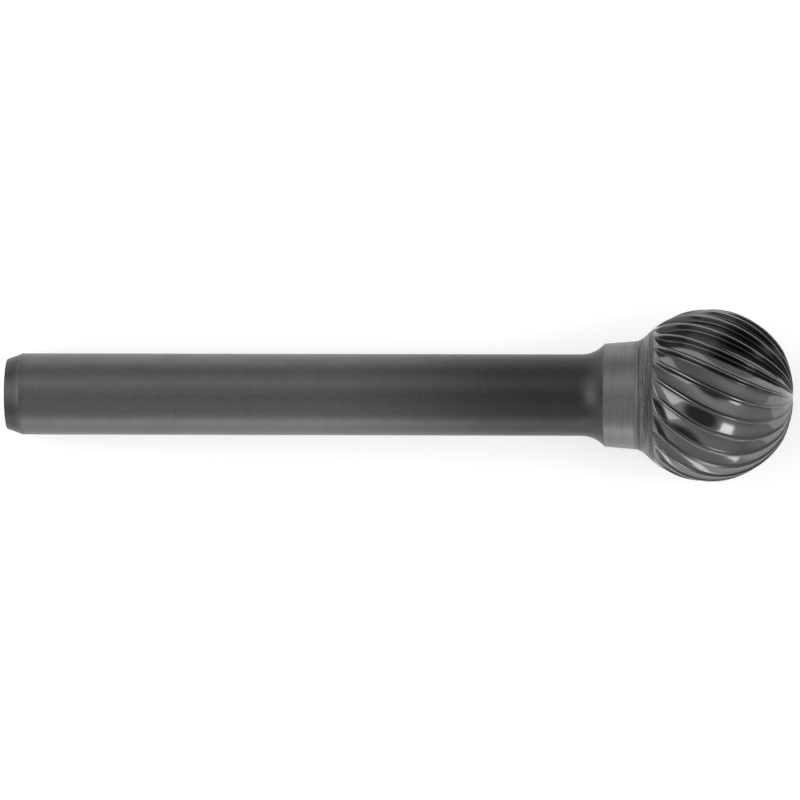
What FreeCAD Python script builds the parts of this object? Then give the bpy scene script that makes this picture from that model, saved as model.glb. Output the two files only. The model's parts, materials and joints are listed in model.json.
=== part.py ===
import FreeCAD, Part
import math
import os

os.makedirs("parts", exist_ok=True)

# A ball burr lying at rest: a turned steel shank, a thin braze joint and a carbide head.
# Sizes are in mm. Each piece is drawn along X, with the shank's end at zero and the nose last.

# Whole tool
overall_length = 58.0
shank_diameter = 6.0
ball_diameter = 12.7

# Shank
end_chamfer_length = 1.12
end_chamfer_depth = 0.40
end_crown = 0.10
flare_radius = 2.3
collar_edge_diameter = 7.58
collar_length = 2.23
joint_diameter = 7.94

# Braze joint
braze_thickness = 0.12

# Carbide blank. The neck is the joint's distance from where the ball has the joint's diameter.
neck_length = 0.33
neck_fillet_radius = 2.0
nose_shortening = 0.18
nose_start_diameter = 6.4
nose_flat_diameter = 1.4

# Teeth. Shares of the tooth pitch run from a cutting edge towards the next one.
tooth_count = 24
tooth_depth = 0.50
land_share = 0.10
floor_start_share = 0.76
floor_start_height = 0.06
floor_end_share = 0.95
root_share = 1.02
root_height = 0.14
equator_twist = 36.75
twist_fade = 75.0
runout_inset = 1.40
nose_depth_share = 0.35
depth_softness = 0.15
neck_overrun = 0.10
nose_overrun_share = 0.40
ball_sections = 20
nose_sections = 6

# Values that follow from those above
shank_radius = shank_diameter / 2
ball_radius = ball_diameter / 2
joint_radius = joint_diameter / 2
collar_edge_radius = collar_edge_diameter / 2
ball_centre = overall_length - ball_radius + nose_shortening
head_start = ball_centre - math.sqrt(ball_radius ** 2 - joint_radius ** 2) - neck_length
joint_position = head_start - braze_thickness
collar_start = joint_position - collar_length
nose_flat_radius = nose_flat_diameter / 2
nose_start_radius = nose_start_diameter / 2
nose_start = ball_centre + math.sqrt(ball_radius ** 2 - nose_start_radius ** 2)
nose_rise = nose_start_radius ** 2 - nose_flat_radius ** 2
nose_centre = (overall_length + nose_start - nose_rise / (overall_length - nose_start)) / 2
nose_radius = math.hypot(overall_length - nose_centre, nose_flat_radius)
runout_radius = ball_radius - runout_inset
tooth_pitch = 360.0 / tooth_count


def point(x, radius, angle=0.0):
    """A point at a place along the axis, an angle being turned from the top towards +Y."""
    turn = math.radians(angle)
    return FreeCAD.Vector(x, radius * math.sin(turn), radius * math.cos(turn))


def line(start, end):
    return Part.makeLine(start, end)


def arc(start, through, end):
    return Part.Arc(start, through, end).toShape()


def turned(edges):
    """Revolve a closed outline, drawn above the axis, into a solid."""
    face = Part.Face(Part.Wire(edges))
    return face.revolve(FreeCAD.Vector(0, 0, 0), FreeCAD.Vector(1, 0, 0), 360)


def arc_middle(centre_x, centre_radius, start, end, radius):
    """The middle of a profile arc that is less than half a circle."""
    middle = (start + end) * 0.5 - FreeCAD.Vector(centre_x, 0, centre_radius)
    middle.normalize()
    return FreeCAD.Vector(centre_x, 0, centre_radius) + middle * radius


def collar_radius(x):
    """The collar widens evenly from its edge to the joint, and the braze goes on with it."""
    along = (x - collar_start) / (joint_position - collar_start)
    return collar_edge_radius + along * (joint_radius - collar_edge_radius)


def shank():
    face_radius = shank_radius - end_chamfer_depth
    crown_radius = (face_radius ** 2 + end_crown ** 2) / (2 * end_crown)
    chamfer_end = end_crown + end_chamfer_length
    flare_turn = math.acos(1 - (collar_edge_radius - shank_radius) / flare_radius)
    flare_start = collar_start - flare_radius * math.sin(flare_turn)

    tip = point(0, 0)
    face_edge = point(end_crown, face_radius)
    straight_start = point(chamfer_end, shank_radius)
    straight_end = point(flare_start, shank_radius)
    collar_edge = point(collar_start, collar_edge_radius)
    joint_edge = point(joint_position, joint_radius)
    joint_middle = point(joint_position, 0)
    crown_middle = arc_middle(crown_radius, 0, tip, face_edge, crown_radius)
    flare_middle = arc_middle(flare_start, shank_radius + flare_radius,
                              straight_end, collar_edge, flare_radius)
    return turned([
        arc(tip, crown_middle, face_edge),
        line(face_edge, straight_start),
        line(straight_start, straight_end),
        arc(straight_end, flare_middle, collar_edge),
        line(collar_edge, joint_edge),
        line(joint_edge, joint_middle),
        line(joint_middle, tip),
    ])


def braze_joint():
    corners = [
        point(joint_position, 0),
        point(joint_position, joint_radius),
        point(head_start, collar_radius(head_start)),
        point(head_start, 0),
    ]
    return turned([line(corners[i - 1], corners[i]) for i in range(len(corners))])


def neck_fillet():
    """Centre of the neck's fillet: it starts on the joint's edge and touches the ball."""
    start_radius = collar_radius(head_start)
    gap_x = head_start - ball_centre
    gap = math.hypot(gap_x, start_radius)
    reach = ball_radius + neck_fillet_radius
    along = (reach ** 2 - neck_fillet_radius ** 2 + gap ** 2) / (2 * gap)
    aside = math.sqrt(reach ** 2 - along ** 2)
    centre_x = ball_centre + (along * gap_x + aside * start_radius) / gap
    centre_radius = (along * start_radius - aside * gap_x) / gap
    return centre_x, centre_radius


def blank():
    """The head before its teeth are cut: neck, ball and nose, turned in one piece."""
    fillet_x, fillet_radius = neck_fillet()
    share = ball_radius / (ball_radius + neck_fillet_radius)

    neck_edge = point(head_start, collar_radius(head_start))
    ball_start = point(ball_centre + (fillet_x - ball_centre) * share, fillet_radius * share)
    ball_top = point(ball_centre, ball_radius)
    nose_edge = point(nose_start, nose_start_radius)
    flat_edge = point(overall_length, nose_flat_radius)
    fillet_middle = arc_middle(fillet_x, fillet_radius, neck_edge, ball_start, neck_fillet_radius)
    nose_middle = arc_middle(nose_centre, 0, nose_edge, flat_edge, nose_radius)
    return turned([
        arc(neck_edge, fillet_middle, ball_start),
        arc(ball_start, ball_top, nose_edge),
        arc(nose_edge, nose_middle, flat_edge),
        line(flat_edge, point(overall_length, 0)),
        line(point(overall_length, 0), point(head_start, 0)),
        line(point(head_start, 0), neck_edge),
    ])


def outline_radius(x):
    """Radius of the ball or of the nose arc, the neck being left out."""
    if x > nose_start:
        return math.sqrt(nose_radius ** 2 - (x - nose_centre) ** 2)
    return math.sqrt(ball_radius ** 2 - (x - ball_centre) ** 2)


def latitude(x):
    """Latitude on the ball, in degrees, from the neck's negative ones to the nose."""
    return math.degrees(math.asin(max(-1.0, min(1.0, (x - ball_centre) / ball_radius))))


def twist(x):
    """Turn of the flutes about the axis: quick at the neck and slower towards the nose."""
    return equator_twist * (math.exp(-latitude(x) / twist_fade) - 1)


def soft_larger(first, second):
    """The larger of two lengths, passing smoothly from one to the other."""
    return (first + second + math.hypot(first - second, depth_softness)) / 2


def depth_at(x):
    """Full depth on the ball; on the nose a share of the radius, so that the flutes don't meet."""
    shallow = nose_depth_share * outline_radius(x)
    return tooth_depth + shallow - soft_larger(tooth_depth, shallow)


def floor_radius(x):
    """Floor of the tooth spaces: it follows the ball, and leaves it straight at the neck."""
    floor = outline_radius(x) - depth_at(x)
    if x < ball_centre:
        return soft_larger(floor, runout_radius)
    return floor


def edge_angle(x):
    """Angle of one cutting edge. At rest, nose up, a gap between two teeth is at the bottom."""
    gap_middle = tooth_pitch * (1 + land_share) / 2
    contact = ball_centre - ball_radius * math.sin(math.radians(rest_tilt()))
    return 180 - gap_middle + twist(x) - twist(contact)


def tooth_section(x):
    """Outline of all the teeth across the axis, its crests standing clear of the blank."""
    back_fall = (1 - floor_start_height) / (floor_start_share - land_share)
    form = [
        (0.0, 1 + back_fall * land_share),
        (floor_start_share, floor_start_height),
        (floor_end_share, 0.0),
        (root_share, root_height),
    ]
    corners = []
    for tooth in range(tooth_count):
        for share, height in form:
            angle = edge_angle(x) + (tooth + share) * tooth_pitch
            corners.append(point(x, floor_radius(x) + height * depth_at(x), angle))
    return Part.makePolygon(corners + corners[:1])


def ball_places():
    """Even steps of angle along the ball, from behind the neck to where the nose arc begins."""
    start = latitude(head_start - neck_overrun)
    step = (latitude(nose_start) - start) / ball_sections
    angles = [math.radians(start + step * i) for i in range(ball_sections + 1)]
    return [ball_centre + ball_radius * math.sin(angle) for angle in angles]


def nose_places():
    """Even steps of angle along the nose arc, to a little beyond the nose's flat."""
    start = math.asin(nose_start_radius / nose_radius)
    end = math.asin(nose_flat_radius / nose_radius) * nose_overrun_share
    step = (end - start) / nose_sections
    angles = [start + step * i for i in range(nose_sections + 1)]
    return [nose_centre + nose_radius * math.cos(angle) for angle in angles]


def tooth_core():
    """A twisted star whose valleys are the tooth spaces: smooth on the ball, then in short steps."""
    on_ball = [tooth_section(x) for x in ball_places()]
    on_nose = [tooth_section(x) for x in nose_places()]
    smooth_part = Part.makeLoft(on_ball, True, False, False, 3)
    stepped_part = Part.makeLoft(on_nose, True, True)
    return smooth_part.fuse(stepped_part)


def carbide_head():
    return blank().common(tooth_core())


def rest_tilt():
    """Tilt of the axis at rest, on the rear chamfer's edge and on two crests of the ball."""
    half_gap = math.radians(tooth_pitch * (1 - land_share) / 2)
    helix = math.atan(equator_twist / twist_fade)
    contact_radius = ball_radius * math.cos(half_gap * math.cos(helix))
    run = ball_centre - end_crown - end_chamfer_length
    lift = math.asin(contact_radius / math.hypot(run, shank_radius))
    return math.degrees(lift - math.atan2(shank_radius, run))


def at_rest(pieces):
    """Tip the burr nose up and set the middle of its footprint on the origin."""
    tip = FreeCAD.Rotation(FreeCAD.Vector(0, -1, 0), rest_tilt())
    tipped = [piece.copy() for piece in pieces]
    for piece in tipped:
        piece.Placement = FreeCAD.Placement(FreeCAD.Vector(0, 0, 0), tip)
    box = Part.makeCompound(tipped).optimalBoundingBox(False, False)
    down = FreeCAD.Vector(-box.Center.x, -box.Center.y, -box.ZMin)
    for piece in tipped:
        piece.Placement = FreeCAD.Placement(down, tip)
    return tipped


names = ["shank", "braze_joint", "carbide_head"]
for name, piece in zip(names, at_rest([shank(), braze_joint(), carbide_head()])):
    piece.exportStep("parts/" + name + ".step")
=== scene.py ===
# %% [markdown]
# # A ball burr in polished carbide and ground steel
#
# The burr lies on a pale table: a turned steel shank, a thin line of braze and a ball of
# carbide with helical teeth. The measured model comes first and is never moved. Everything
# in this lesson is a finish or a finer surface laid over it.

# %% The measured model
import json
import math

import bmesh
import bpy
from mathutils import Matrix, Vector


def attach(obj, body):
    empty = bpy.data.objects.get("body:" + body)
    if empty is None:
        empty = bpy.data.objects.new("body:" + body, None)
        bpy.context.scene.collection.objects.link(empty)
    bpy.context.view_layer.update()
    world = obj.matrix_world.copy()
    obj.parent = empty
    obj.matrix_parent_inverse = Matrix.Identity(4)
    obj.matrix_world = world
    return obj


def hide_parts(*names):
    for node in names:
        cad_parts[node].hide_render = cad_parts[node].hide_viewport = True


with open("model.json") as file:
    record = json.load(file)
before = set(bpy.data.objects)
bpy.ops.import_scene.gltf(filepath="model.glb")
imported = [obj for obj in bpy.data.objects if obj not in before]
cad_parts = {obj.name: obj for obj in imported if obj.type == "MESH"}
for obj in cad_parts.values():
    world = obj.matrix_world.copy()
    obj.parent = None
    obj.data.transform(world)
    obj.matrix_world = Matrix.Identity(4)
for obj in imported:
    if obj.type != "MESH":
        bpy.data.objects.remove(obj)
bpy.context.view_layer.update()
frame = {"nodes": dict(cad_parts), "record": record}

# %% [markdown]
# ## Where the burr's own axis runs
#
# The burr rests on its ball and on the edge of its shank's chamfer, so its axis climbs
# towards the nose. Turned shapes and grinding lines run round that axis. It is read from the
# packed mount on the shank, and everything turned is drawn along X first and tipped later.

# %% The axis
mm = 0.001
mount_place = 21.84
mount = frame["record"]["mounts"][0]
axis = -Vector(mount["axis"]).normalized()
tilt = math.atan2(axis.z, axis.x)
shank_end = Vector(mount["pos_m"]) - axis * mount_place * mm
tipped = Matrix.Translation(shank_end) @ Matrix.Rotation(-tilt, 4, "Y")
print("the axis climbs by", round(math.degrees(tilt), 2), "degrees from", shank_end)

# %% [markdown]
# ## A small language for shader maths
#
# A material is a graph of nodes. Writing it as sums and products is easier to read than
# dozens of links, so one small class wraps a socket and lets Python's operators add the
# Math nodes. Any other node comes from one method.

# %% Shader expressions
class Wire:
    """A number or a vector that varies over a surface."""

    def __init__(self, graph, socket):
        self.graph = graph
        self.socket = socket

    def _math(self, operation, *values, clamp=False):
        settings = {"operation": operation, "use_clamp": clamp}
        return self.graph.node("ShaderNodeMath", settings, dict(enumerate(values)))

    def __add__(self, other):
        return self._math("ADD", self, other)

    def __radd__(self, other):
        return self._math("ADD", other, self)

    def __sub__(self, other):
        return self._math("SUBTRACT", self, other)

    def __rsub__(self, other):
        return self._math("SUBTRACT", other, self)

    def __mul__(self, other):
        return self._math("MULTIPLY", self, other)

    def __rmul__(self, other):
        return self._math("MULTIPLY", other, self)

    def clamped(self):
        return self._math("ADD", self, 0.0, clamp=True)

    def step(self, low, high):
        """Zero below one value, one above the other and smooth between them."""
        settings = {"interpolation_type": "SMOOTHSTEP"}
        return self.graph.node("ShaderNodeMapRange", settings, {0: self, 1: low, 2: high})


class Graph:
    """A tree of nodes, of a material or of the world, that grows one call at a time."""

    def __init__(self, owner):
        owner.use_nodes = True
        self.tree = owner.node_tree

    def node(self, kind, settings=None, inputs=None, output=0):
        made = self.tree.nodes.new(kind)
        for key, value in (settings or {}).items():
            setattr(made, key, value)
        for key, value in (inputs or {}).items():
            self.plug(made.inputs[key], value)
        return Wire(self, made.outputs[output])

    def plug(self, socket, value):
        if isinstance(value, Wire):
            self.tree.links.new(value.socket, socket)
        else:
            socket.default_value = value

    def split(self, vector):
        parts = self.node("ShaderNodeSeparateXYZ", inputs={0: vector}).socket.node
        return [Wire(self, part) for part in parts.outputs]

    def colour(self, red, green, blue):
        return self.node("ShaderNodeCombineColor", inputs={0: red, 1: green, 2: blue})


class Finish(Graph):
    """A material with its shader's own sockets at hand."""

    def __init__(self, name):
        self.material = bpy.data.materials.new(name)
        super().__init__(self.material)
        self.shader = self.tree.nodes["Principled BSDF"]

    def place(self):
        """Position on the burr in millimetres: X runs along its axis from the shank's end."""
        point = self.node("ShaderNodeTexCoord", output="Object")
        levelled = tipped.inverted()
        turn = {"Location": levelled.translation / mm, "Rotation": levelled.to_euler(),
                "Scale": Vector((1, 1, 1)) / mm, "Vector": point}
        return self.node("ShaderNodeMapping", {"vector_type": "POINT"}, turn)

    def grain(self, place, per_mm, detail, roughness):
        """Noise with its own number of spots per millimetre along X, Y and Z."""
        scaled = {0: place, 1: per_mm}
        stretched = self.node("ShaderNodeVectorMath", {"operation": "MULTIPLY"}, scaled)
        inputs = {"Vector": stretched, "Scale": 1.0, "Detail": detail, "Roughness": roughness}
        return self.node("ShaderNodeTexNoise", None, inputs)

    def stored(self, name, output):
        """A value kept on the mesh's own vertices."""
        return self.node("ShaderNodeAttribute", {"attribute_name": name}, output=output)

    def set(self, **values):
        """Values of the shader's own sockets, with underscores for spaces in their names."""
        for name, value in values.items():
            self.plug(self.shader.inputs[name.replace("_", " ")], value)

    def bump(self, height, depth, strength):
        inputs = {"Height": height, "Distance": depth, "Strength": strength}
        self.set(Normal=self.node("ShaderNodeBump", None, inputs))


print("shader helpers:", Wire.__name__, Graph.__name__, Finish.__name__)

# %% [markdown]
# ## The carbide head, as a blank
#
# A real head starts as a ground blank: a short neck, a ball and a slightly flatter nose. Its
# outline is drawn once and spun round the axis. The spin has a fixed number of columns for
# each tooth, so that the teeth can be cut by moving columns instead of by cutting faces.
# Lengths are in millimetres here and are scaled to metres when the head is done.

# %% Outline of the blank
ball_radius = 6.35
ball_centre = 51.83
neck_start = 46.544
neck_radius = 3.976
neck_fillet = 2.0
nose_start = 57.315
nose_radius = 7.49
nose_end = 57.998
nose_flat = 0.7


def neck_circle():
    """Centre of the neck's hollow: it starts on the joint's edge and touches the ball."""
    gap_x = neck_start - ball_centre
    gap = math.hypot(gap_x, neck_radius)
    reach = ball_radius + neck_fillet
    along = (reach ** 2 - neck_fillet ** 2 + gap ** 2) / (2 * gap)
    aside = math.sqrt(reach ** 2 - along ** 2)
    centre_x = ball_centre + (along * gap_x + aside * neck_radius) / gap
    return centre_x, (along * neck_radius - aside * gap_x) / gap


def blank_radius(x):
    """Radius of the neck's hollow, of the ball or of the nose arc at a place along X."""
    hollow_x, hollow_radius = neck_circle()
    reach = ball_radius + neck_fillet
    ball_side = ball_centre + (hollow_x - ball_centre) * ball_radius / reach
    if x < ball_side:
        return hollow_radius - math.sqrt(max(0.0, neck_fillet ** 2 - (x - hollow_x) ** 2))
    if x > nose_start:
        nose_centre = nose_end - math.sqrt(nose_radius ** 2 - nose_flat ** 2)
        return math.sqrt(nose_radius ** 2 - (x - nose_centre) ** 2)
    return math.sqrt(ball_radius ** 2 - (x - ball_centre) ** 2)


def latitude(x):
    """Latitude on the ball in degrees, from the neck's negative ones to the nose."""
    return math.degrees(math.asin(max(-1.0, min(1.0, (x - ball_centre) / ball_radius))))


rows = 140
first, last = latitude(neck_start), latitude(nose_end)
latitudes = [first + (last - first) * i / rows for i in range(rows + 1)]
stations = [ball_centre + ball_radius * math.sin(math.radians(lat)) for lat in latitudes]
print("blank radius at the ends in mm:", round(blank_radius(neck_start), 3),
      round(blank_radius(nose_end), 3))

# %% [markdown]
# ## One tooth
#
# The tooth is a saw shape. From the cutting edge a narrow land follows the ball, then the
# hollow back falls quickly at first and gently later to the floor, and a steep face climbs
# to the next edge. Edges on ground carbide are crisp but not razor thin at this scale, so
# each corner gets a few close points that round it and catch the light as a fine line.
# The third number is painted light: the land is painted a little lighter as a painted
# highlight, while the step behind a land and the corner of the floor are painted darker as
# painted shade.

# %% Tooth form
tooth_count = 24
tooth_depth = 0.50
# Third column: painted light, below 1 for painted shade and above 1 for a painted highlight.
tooth_form = (
    (0.000, 0.945, 0.85), (0.010, 0.982, 0.98), (0.030, 1.000, 1.05), (0.060, 1.000, 1.05),
    (0.080, 0.990, 1.00), (0.095, 0.960, 0.85), (0.108, 0.910, 0.70), (0.127, 0.820, 0.58),
    (0.150, 0.720, 0.55), (0.172, 0.648, 0.62), (0.200, 0.590, 0.78), (0.250, 0.515, 0.90),
    (0.310, 0.435, 0.96), (0.380, 0.352, 1.00), (0.460, 0.265, 1.02), (0.550, 0.182, 1.02),
    (0.640, 0.112, 1.00), (0.730, 0.055, 0.94), (0.810, 0.016, 0.84), (0.875, 0.000, 0.68),
    (0.925, 0.010, 0.48), (0.955, 0.070, 0.36), (0.978, 0.240, 0.36), (0.989, 0.500, 0.50),
    (0.996, 0.800, 0.70),
)
columns = tooth_count * len(tooth_form)
print("columns round the head:", columns)

# %% [markdown]
# ## Cutting the teeth
#
# The flutes wind quickly round the neck side and more slowly towards the nose. The grinding
# wheel dips in behind the neck, so the deepest part of a flute starts first and its outline
# there is a leaf's tip. On the ball the depth stays the same, and on the nose it shrinks so
# that the flutes don't meet. Each vertex of the spun blank is turned and lowered by that
# rule. It also remembers its place on the blank before the turn, for lines that follow the
# flutes, and how much painted shade or painted highlight its colour gets.

# %% Helix and depth
pitch = 360.0 / tooth_count
rest_latitude = -math.degrees(tilt)
flute_start = 47.82
dip_length = 1.2
painted_light_fade = 0.5
nose_depth_share = 0.35
equator_twist = 36.75
twist_fade = 75.0
gap_middle = 0.55
skin = 0.003
pattern_radius = 6
near = 0.01


def twist(lat):
    """Turn of the flutes in degrees: quick at the neck and slower towards the nose."""
    return equator_twist * (math.exp(-lat / twist_fade) - 1)


def share_of(x, length):
    """How far a place is into the first stretch of a flute, from 0 to 1."""
    return max(0.0, min(1.0, (x - flute_start) / length))


def depth_at(x, height):
    """How far the form is below the blank, the wheel dipping in behind the neck."""
    full = min(tooth_depth, nose_depth_share * blank_radius(x))
    return full * max(0.0, 1 - height - (1 - share_of(x, dip_length)) ** 2)


print("depth in mm at the widest place:", depth_at(ball_centre, 0.0))

# %% [markdown]
# ## Moving the columns
#
# Every vertex knows from its angle which column it is in, and so its place on a tooth. The
# column is turned by the twist, and the vertex is lowered by the depth of the form there. The
# head stays a hair under the measured one all over, so that it never shows outside it. A gap
# between two teeth faces the table, as on the measured model.

# %% Cutting
def cut_teeth(shape):
    """Turn and lower the vertices of a spun blank, and store what its finish needs."""
    blank_place = shape.verts.layers.float_vector.new("blank_place")
    painted_light = shape.verts.layers.float.new("painted_light")
    for vertex in shape.verts:
        x = vertex.co.x
        radius = math.hypot(vertex.co.y, vertex.co.z)
        vertex[painted_light] = 1.0
        if radius < near or abs(radius - blank_radius(x)) > near:
            continue
        turn = math.degrees(math.atan2(vertex.co.y, vertex.co.z)) % 360.0
        tooth, place = divmod(round(turn * columns / 360.0) % columns, len(tooth_form))
        share, height, painted_level = tooth_form[place]
        straight = math.radians((tooth + share) * pitch)
        edge = 180 - pitch * gap_middle + twist(latitude(x)) - twist(rest_latitude)
        angle = math.radians(edge) + straight
        side, top = pattern_radius * math.sin(straight), pattern_radius * math.cos(straight)
        vertex[blank_place] = (x, side, top)
        # Painted light on the teeth, faded in over the first stretch of a flute: painted shade
        # behind the lands and in the floor corners, a painted highlight on the lands.
        vertex[painted_light] = 1 + (painted_level - 1) * share_of(x, painted_light_fade)
        radius -= depth_at(x, height) + skin
        vertex.co.y = radius * math.sin(angle)
        vertex.co.z = radius * math.cos(angle)


print("cutting edge nearest the table, in degrees:", round(180 - pitch * gap_middle, 2))

# %% [markdown]
# ## The head
#
# The blank's outline is spun once round the axis and merged where it closes, so that the neck
# and the nose end in single points. After the cut the head takes the place of the measured
# one, on the same body. Only very steep corners stay sharp, since real edges are rounded.

# %% The head
weld = 0.0005
sharp_angle = 80


def settle(shape, name):
    """Close the seams, point the faces outwards, tip the piece to its rest and ship it."""
    bmesh.ops.remove_doubles(shape, verts=shape.verts, dist=weld)
    bmesh.ops.recalc_face_normals(shape, faces=shape.faces)
    bmesh.ops.scale(shape, vec=(mm, mm, mm), verts=shape.verts)
    bmesh.ops.transform(shape, matrix=tipped, verts=shape.verts)
    mesh = bpy.data.meshes.new(name)
    shape.to_mesh(mesh)
    shape.free()
    piece = bpy.data.objects.new(name, mesh)
    bpy.context.scene.collection.objects.link(piece)
    mesh.shade_smooth()
    mesh.set_sharp_from_angle(angle=math.radians(sharp_angle))
    return piece


def make_head():
    """Spin the blank, one column for each place in the tooth form, and cut its teeth."""
    shape = bmesh.new()
    outline = [(neck_start, 0.0)] + [(x, blank_radius(x)) for x in stations] + [(nose_end, 0.0)]
    points = [shape.verts.new((x, 0.0, radius)) for x, radius in outline]
    edges = [shape.edges.new(pair) for pair in zip(points, points[1:])]
    bmesh.ops.spin(shape, geom=points + edges, cent=(0, 0, 0), axis=(1, 0, 0), dvec=(0, 0, 0),
                   angle=math.tau, steps=columns, use_merge=True, use_duplicate=False)
    cut_teeth(shape)
    return settle(shape, "toothed_head")


head = make_head()
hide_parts("carbide_head")
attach(head, "root")
print("head:", len(head.data.polygons), "faces")

# %% [markdown]
# ## Ground steel with painted shade
#
# The shank is centreless ground: satin steel whose faint lines run round it, with a little
# mottle from handling. It is painted darker towards the collar, as painted shade where the left
# lamp's light falls off, and darker again on its chamfered end, as painted shade. The collar
# was dressed after brazing, so it is lighter and its lines are coarser. One material covers
# both, and a mask along the axis tells them apart.

# %% Steel
micron = 0.000001
cool = 1.01


def steel():
    finish = Finish("ground_steel")
    place = finish.place()
    x = finish.split(place)[0]
    collar = x.step(44.12, 44.26)
    # Painted shade: the shank is painted darker towards the collar, where the lamp's light
    # falls off.
    collar_falloff_shade = x.step(22.0, 40.5)
    rings = finish.grain(place, (9.0, 0.12, 0.12), 3.0, 0.6)
    coarse = finish.grain(place, (14.0, 0.25, 0.25), 3.0, 0.65)
    mottle = finish.grain(place, (0.55, 0.9, 0.9), 4.0, 0.6)
    specks = finish.grain(place, (4.5, 6.0, 6.0), 3.0, 0.65)
    stain = mottle.step(0.42, 0.66)
    bright = (0.128 - collar_falloff_shade * 0.072) * (0.88 + rings * 0.20) * (0.84 + specks * 0.32)
    # Painted shade on the chamfered end of the shank.
    chamfer_shade = 1 - x.step(0.70, 1.70)
    shaft = bright * (1.02 - stain * 0.06) * (1 - chamfer_shade * 0.50)
    dressed = 0.165 * (0.58 + coarse * 0.84) * (0.86 + specks * 0.28)
    shade = shaft * (1 - collar) + dressed * collar
    colour = finish.colour(shade, shade, shade * cool)
    rough = 0.41 + stain * 0.03 + (rings - 0.5) * 0.10 + (specks - 0.5) * 0.06
    finish.set(Base_Color=colour, Metallic=1.0, Roughness=rough)
    finish.bump(rings * (1 - collar) * 0.5 + coarse * collar + specks * 0.3, 4 * micron, 0.6)
    return finish.material


steel_material = steel()
print(steel_material.name, "has", len(steel_material.node_tree.nodes), "nodes")

# %% [markdown]
# ## The brazed seam
#
# Silver braze shows as a thin dull line. It is rougher and more blotched than the steel.

# %% Braze
def braze():
    finish = Finish("braze")
    place = finish.place()
    blotch = finish.grain(place, (3.0, 1.1, 1.1), 4.0, 0.65)
    shade = 0.12 + blotch.step(0.35, 0.7) * 0.05
    colour = finish.colour(shade, shade, shade)
    finish.set(Base_Color=colour, Metallic=1.0, Roughness=0.42 + blotch * 0.2)
    finish.bump(blotch, 10 * micron, 0.7)
    return finish.material


braze_material = braze()
print(braze_material.name, "has", len(braze_material.node_tree.nodes), "nodes")

# %% [markdown]
# ## Ground carbide
#
# The teeth are ground with a fine diamond wheel, so their faces are nearly mirrors with faint
# lines that follow the flutes. The neck isn't ground: it stays matt and speckled, with dark
# bands of flux from the brazing, and it is painted lighter where it turns away from the camera,
# as a painted sheen. The floor of a flute and the step behind each land are painted darker than
# the crest, as painted shade, and the land a little lighter, as a painted highlight.

# %% Carbide
def carbide():
    finish = Finish("carbide")
    place = finish.place()
    x = finish.split(place)[0]
    neck = 1 - x.step(47.72, 48.02)
    seam = 1 - x.step(46.60, 46.72)
    along_flutes = finish.stored("blank_place", 1)
    # Painted light stored on the head: painted shade behind the lands and in the floor corners,
    # a painted highlight on the lands.
    painted_light = finish.stored("painted_light", 2)
    lines = finish.grain(along_flutes, (0.35, 4.5, 4.5), 4.0, 0.65)
    cloud = finish.grain(place, (0.6, 0.6, 0.6), 3.0, 0.55)
    bands = finish.grain(place, (7.0, 0.35, 0.35), 3.0, 0.7)
    specks = finish.grain(place, (5.5, 3.6, 3.6), 4.0, 0.7)
    flux = 1 - 0.6 * (bands.step(0.42, 0.60) * specks.step(0.30, 0.55)).clamped()
    polished = 0.158 * painted_light * (0.88 + cloud * 0.24) * (0.76 + lines * 0.48)
    # Painted sheen: the neck is painted lighter where its surface turns away from the camera.
    painted_rim_sheen = finish.node("ShaderNodeLayerWeight", inputs={"Blend": 0.5}, output="Facing")
    joint_line = x.step(46.60, 46.70) * (1 - x.step(46.80, 46.95))
    ledge_line = x.step(47.35, 47.60) * (1 - x.step(47.90, 48.05))
    stains = 1 - 0.35 * (joint_line + ledge_line)
    # The neck's colour: real specks, flux and dark lines, times the painted sheen.
    dust_and_sheen = 0.092 * (0.45 + specks * 1.1) * flux * stains * (1 + painted_rim_sheen * 1.5)
    matt_with_sheen = dust_and_sheen * (1 - seam) + 0.15 * seam
    shade = polished * (1 - neck) + matt_with_sheen * neck
    colour = finish.colour(shade, shade, shade * cool)
    ground = 0.065 + lines * 0.075 + (1 - painted_light).clamped() * 0.18
    rough = ground * (1 - neck) + (0.42 + specks * 0.16) * neck
    finish.set(Base_Color=colour, Metallic=1.0, Roughness=rough)
    relief = lines * (1 - neck) * 0.3 + (specks + bands * 0.6) * neck
    finish.bump(relief, 12 * micron, 0.5)
    return finish.material


carbide_material = carbide()
print(carbide_material.name, "has", len(carbide_material.node_tree.nodes), "nodes")

# %% [markdown]
# ## Dressing the pieces
#
# The measured shank and braze joint keep their own surfaces and only change their finish. The
# toothed head stands in for the measured head and wears the carbide.

# %% Dress the pieces
for piece, material in (
    (frame["nodes"]["shank"], steel_material),
    (frame["nodes"]["braze_joint"], braze_material),
    (head, carbide_material),
):
    piece.data.materials.clear()
    piece.data.materials.append(material)
    print(piece.name, "wears", material.name)

# %% [markdown]
# ## The table
#
# A pale table that reads as plain white to the camera and still takes the burr's shadow.
# Its paint is a pale grey lit by the lamps, and a little glow that only the camera and
# mirror-like reflections see lifts it to white.

# %% Floor
table_half = 1.5
paint = (0.8, 0.8, 0.8, 1.0)
seen_glow = 0.46
mirrored_glow = 0.55


def make_floor():
    mesh = bpy.data.meshes.new("table")
    shape = bmesh.new()
    bmesh.ops.create_grid(shape, x_segments=1, y_segments=1, size=table_half)
    shape.to_mesh(mesh)
    shape.free()
    floor = bpy.data.objects.new("table", mesh)
    bpy.context.scene.collection.objects.link(floor)
    return floor


floor = make_floor()
white = Finish("table_white")
rays = [white.node("ShaderNodeLightPath", output=name)
        for name in ("Is Camera Ray", "Is Glossy Ray", "Is Transmission Ray")]
glow = (rays[0] * seen_glow + (rays[1] + rays[2]) * mirrored_glow).clamped()
glow_colour = white.colour(glow, glow, glow)
white.set(Base_Color=paint, Roughness=0.9, Specular_IOR_Level=0.0,
          Emission_Color=glow_colour, Emission_Strength=1.0)
floor.data.materials.append(white.material)
print("table side in m:", 2 * table_half)

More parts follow.
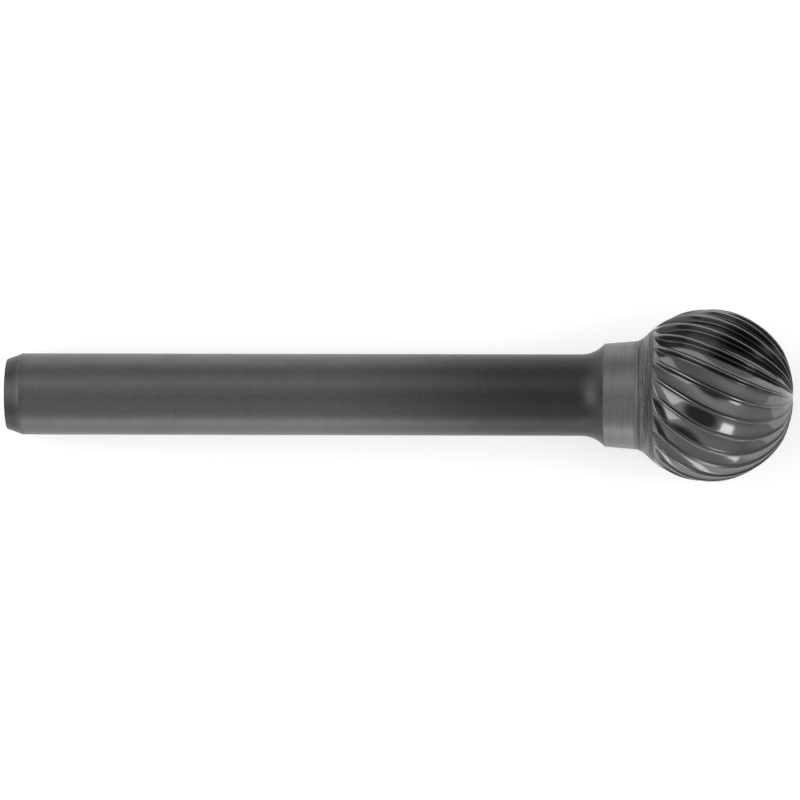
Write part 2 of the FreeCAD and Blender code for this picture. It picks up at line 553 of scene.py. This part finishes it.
# %% [markdown]
# ## The room
#
# Polished metal shows what stands round it. A product photograph has a pale room, a dark
# gap overhead where the camera hangs, and a soft box on either side of it.

# %% World
def make_world(pale, dark, gap_inner, gap_outer):
    """A pale room with dimmer walls, and a dark round gap overhead that has a soft edge."""
    world = bpy.data.worlds.new("studio")
    graph = Graph(world)
    direction = graph.node("ShaderNodeTexCoord", output="Generated")
    right, back, up = graph.split(direction)
    back_wall = back.step(0.45, 0.92) * 0.50
    front_wall = (0 - back).step(0.20, 0.60) * up.step(0.08, 0.35) * 0.35
    right_wall = right.step(0.45, 0.95) * 0.30
    room = pale * (1 - back_wall) * (1 - front_wall) * (1 - right_wall)
    gap = up.step(math.cos(math.radians(gap_outer)), math.cos(math.radians(gap_inner)))
    level = room * (1 - gap) + dark * gap
    colour = graph.colour(level, level, level)
    graph.plug(graph.tree.nodes["Background"].inputs["Color"], colour)
    bpy.context.scene.world = world
    return world


studio = make_world(pale=0.96, dark=0.12, gap_inner=15, gap_outer=30)
print("room:", studio.name, "has", len(studio.node_tree.nodes), "nodes")

# %% [markdown]
# ## The soft boxes
#
# Each soft box is an area lamp aimed at the burr. The large one on the left shows in the tooth
# backs near the neck, the small one on the right leaves the bright spot on a tooth's back, and
# the low one in front lifts the lower edges. The camera itself doesn't see them.

# %% Lamps
aim = Vector((0, 0, 0.005))


def soft_box(name, direction, distance, width, height, brightness):
    """An area lamp that faces the burr. Its power gives the named radiance."""
    data = bpy.data.lights.new(name, "AREA")
    data.shape = "RECTANGLE"
    data.size = width
    data.size_y = height
    data.energy = brightness * math.pi * width * height
    lamp = bpy.data.objects.new(name, data)
    bpy.context.scene.collection.objects.link(lamp)
    towards = Vector(direction).normalized()
    lamp.location = aim + towards * distance
    lamp.rotation_euler = towards.to_track_quat("Z", "Y").to_euler()
    lamp.visible_camera = False
    return lamp


lamps = [
    soft_box("left_box", (-0.69, 0.14, 0.70), 0.50, 0.56, 0.32, 1.50),
    soft_box("right_box", (0.59, -0.10, 0.80), 0.50, 0.17, 0.12, 3.4),
    soft_box("front_box", (0.0, -0.995, 0.095), 0.60, 0.9, 0.10, 2.4),
]
for lamp in lamps:
    print(lamp.name, "gives", round(lamp.data.energy, 3), "W")

# %% [markdown]
# ## The camera
#
# The photograph looks straight down from half a metre, so that the burr lies level across the
# picture. The lens follows from the distance and from how much of the table the picture shows.

# %% Camera
view_middle = (0.000130, -0.000390, 0.0046)
view_distance = 0.519
view_width = 0.05889
view_roll = 0.00228


def make_camera(middle, distance, width, roll):
    """A camera right above a point, that shows so many metres across there."""
    data = bpy.data.cameras.new("camera")
    data.sensor_width = 36.0
    data.lens = data.sensor_width * distance / width
    data.clip_start = 0.05
    data.clip_end = 5.0
    camera = bpy.data.objects.new("camera", data)
    bpy.context.scene.collection.objects.link(camera)
    camera.location = Vector(middle) + Vector((0, 0, distance))
    camera.rotation_euler = (0, 0, roll)
    bpy.context.scene.camera = camera
    return camera


camera = make_camera(view_middle, view_distance, view_width, view_roll)
bpy.context.scene.view_settings.view_transform = "Standard"
print("lens in mm:", round(camera.data.lens, 1))
